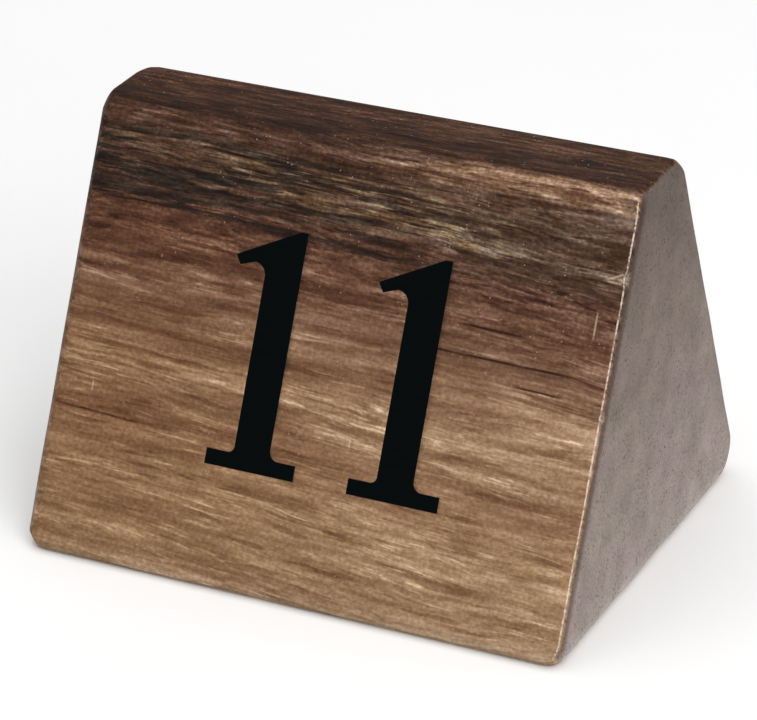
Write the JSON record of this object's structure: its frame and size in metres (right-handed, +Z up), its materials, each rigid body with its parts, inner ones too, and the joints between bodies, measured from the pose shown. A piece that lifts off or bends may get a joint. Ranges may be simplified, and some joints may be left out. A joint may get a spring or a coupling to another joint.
{
  "type": "table number block",
  "caption": "Solid wooden table number block with a trapezoid section, its figures let into both slopes as black enamel.",
  "frame": {"origin": "middle of the base on the table: half way along the block, and half way between the two slopes' sharp foot lines", "axes": "+X along the ridge, to the right of a reader in front; -Y is the side the front slope faces; +Z up from the table"},
  "size_m": [0.05, 0.0395, 0.0362],
  "materials": {
    "acacia_wood": "oiled satin acacia, long grain on the slopes and top, end grain on the two ends",
    "black_enamel": "satin black enamel"
  },
  "bodies": {
    "root": {"wood_block": "acacia_wood", "front_digit_left": "black_enamel", "front_digit_right": "black_enamel", "rear_digit_left": "black_enamel", "rear_digit_right": "black_enamel"}
  },
  "joints": []
}
